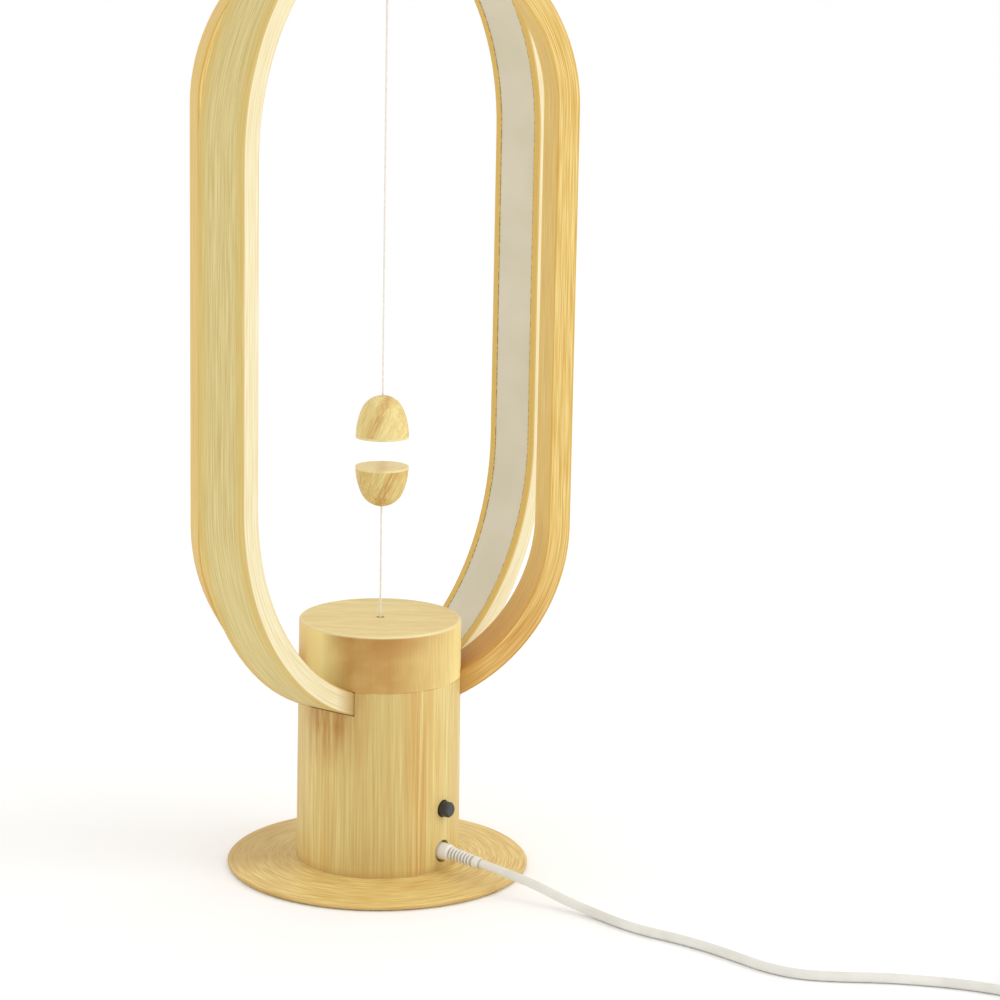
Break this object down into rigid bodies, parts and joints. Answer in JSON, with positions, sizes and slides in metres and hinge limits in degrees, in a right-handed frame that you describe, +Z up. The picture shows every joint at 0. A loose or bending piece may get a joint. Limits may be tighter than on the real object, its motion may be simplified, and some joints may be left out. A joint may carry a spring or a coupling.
{
  "type": "magnetic balance lamp",
  "caption": "Table lamp of two crossing bamboo hoops on a turned base; lifting the lower magnet egg to the hanging one draws its string and works the switch.",
  "frame": {"origin": "centre of the felt pad's underside, on the table below the strings", "axes": "+Z up along the strings, the light hoop in the XZ plane, the push button and the power lead on the -Y side"},
  "size_m": [0.175, 0.4434, 0.349],
  "materials": {
    "hoop_bamboo": "laminated bamboo, satin lacquer",
    "body_bamboo": "turned laminated bamboo, satin lacquer",
    "disc_bamboo": "pressed bamboo board, satin lacquer",
    "egg_wood": "turned hardwood, oiled",
    "felt": "pressed felt",
    "steel": "zinc plated steel",
    "magnet": "nickel plated magnet",
    "brass": "bare brass",
    "string": "braided polyester",
    "diffuser": "frosted acrylic, lamp off",
    "strip": "flexible circuit, white",
    "chip": "phosphor covered light chip",
    "hard_black": "moulded plastic, fine matt",
    "hard_grey": "moulded nylon",
    "board": "glass-fibre circuit board",
    "wire": "insulated stranded wire",
    "lead": "soft white plastic sheath",
    "plating": "nickel plated"
  },
  "bodies": {
    "stand": {"base_disc": "disc_bamboo", "felt_pad": "felt", "disc_screws": "steel", "ballast": "steel", "ballast_screw": "steel", "base_cylinder": "body_bamboo", "base_cap": "body_bamboo", "cap_dowels": "body_bamboo", "led_hoop": "hoop_bamboo", "cross_hoop": "hoop_bamboo", "led_strip": "strip", "led_chips": "chip", "diffuser": "diffuser", "pull_housing": "hard_grey", "pull_spring": "steel", "contact_leaves": "brass", "pull_screws": "steel", "switch_wires": "wire", "control_board": "board", "board_spacers": "brass", "board_screws": "steel", "power_switch_body": "hard_black", "dc_jack": "hard_black", "led_wires": "wire", "plug_barrel": "plating", "plug_boot": "lead", "cord": "lead", "cord_coil": "lead", "cord_tail": "lead", "usb_overmould": "lead", "usb_shell": "plating", "usb_tongue": "hard_grey"},
    "button": {"switch_stem": "hard_grey", "button_cap": "hard_black"},
    "puller": {"pull_plunger": "hard_grey"},
    "lower_link": {"lower_crimp_bead": "brass"},
    "lower_drop": {"lower_string": "string", "lower_egg": "egg_wood", "lower_egg_cover": "egg_wood", "lower_magnet": "magnet"},
    "upper_link": {"upper_crimp_bead": "brass"},
    "upper_drop": {"upper_string": "string", "upper_egg": "egg_wood", "upper_egg_cover": "egg_wood", "upper_magnet": "magnet"}
  },
  "joints": [
    {"name": "power_button_press", "type": "slide", "parent": "stand", "child": "button", "axis": [0, 1, 0], "range_m": [0, 0.0015], "stiffness_N_per_m": 600},
    {"name": "pull_slide", "type": "slide", "parent": "stand", "child": "puller", "axis": [0, 0, 1], "range_m": [-0.002, 0], "stiffness_N_per_m": 300, "springref_m": 0.002, "deforming": ["pull_spring"]},
    {"name": "lower_tilt_y", "type": "hinge", "parent": "puller", "child": "lower_link", "pos_m": [0, 0, 0.0905], "axis": [0, 1, 0], "range_deg": [-12, 12], "stiffness_Nm_per_rad": 0.01},
    {"name": "lower_tilt_x", "type": "hinge", "parent": "lower_link", "child": "lower_drop", "pos_m": [0, 0, 0.0905], "axis": [1, 0, 0], "range_deg": [-12, 12], "stiffness_Nm_per_rad": 0.01},
    {"name": "upper_swing_y", "type": "hinge", "parent": "stand", "child": "upper_link", "pos_m": [0, 0, 0.3381], "axis": [0, 1, 0], "range_deg": [-10, 10]},
    {"name": "upper_swing_x", "type": "hinge", "parent": "upper_link", "child": "upper_drop", "pos_m": [0, 0, 0.3381], "axis": [1, 0, 0], "range_deg": [-10, 10]}
  ]
}
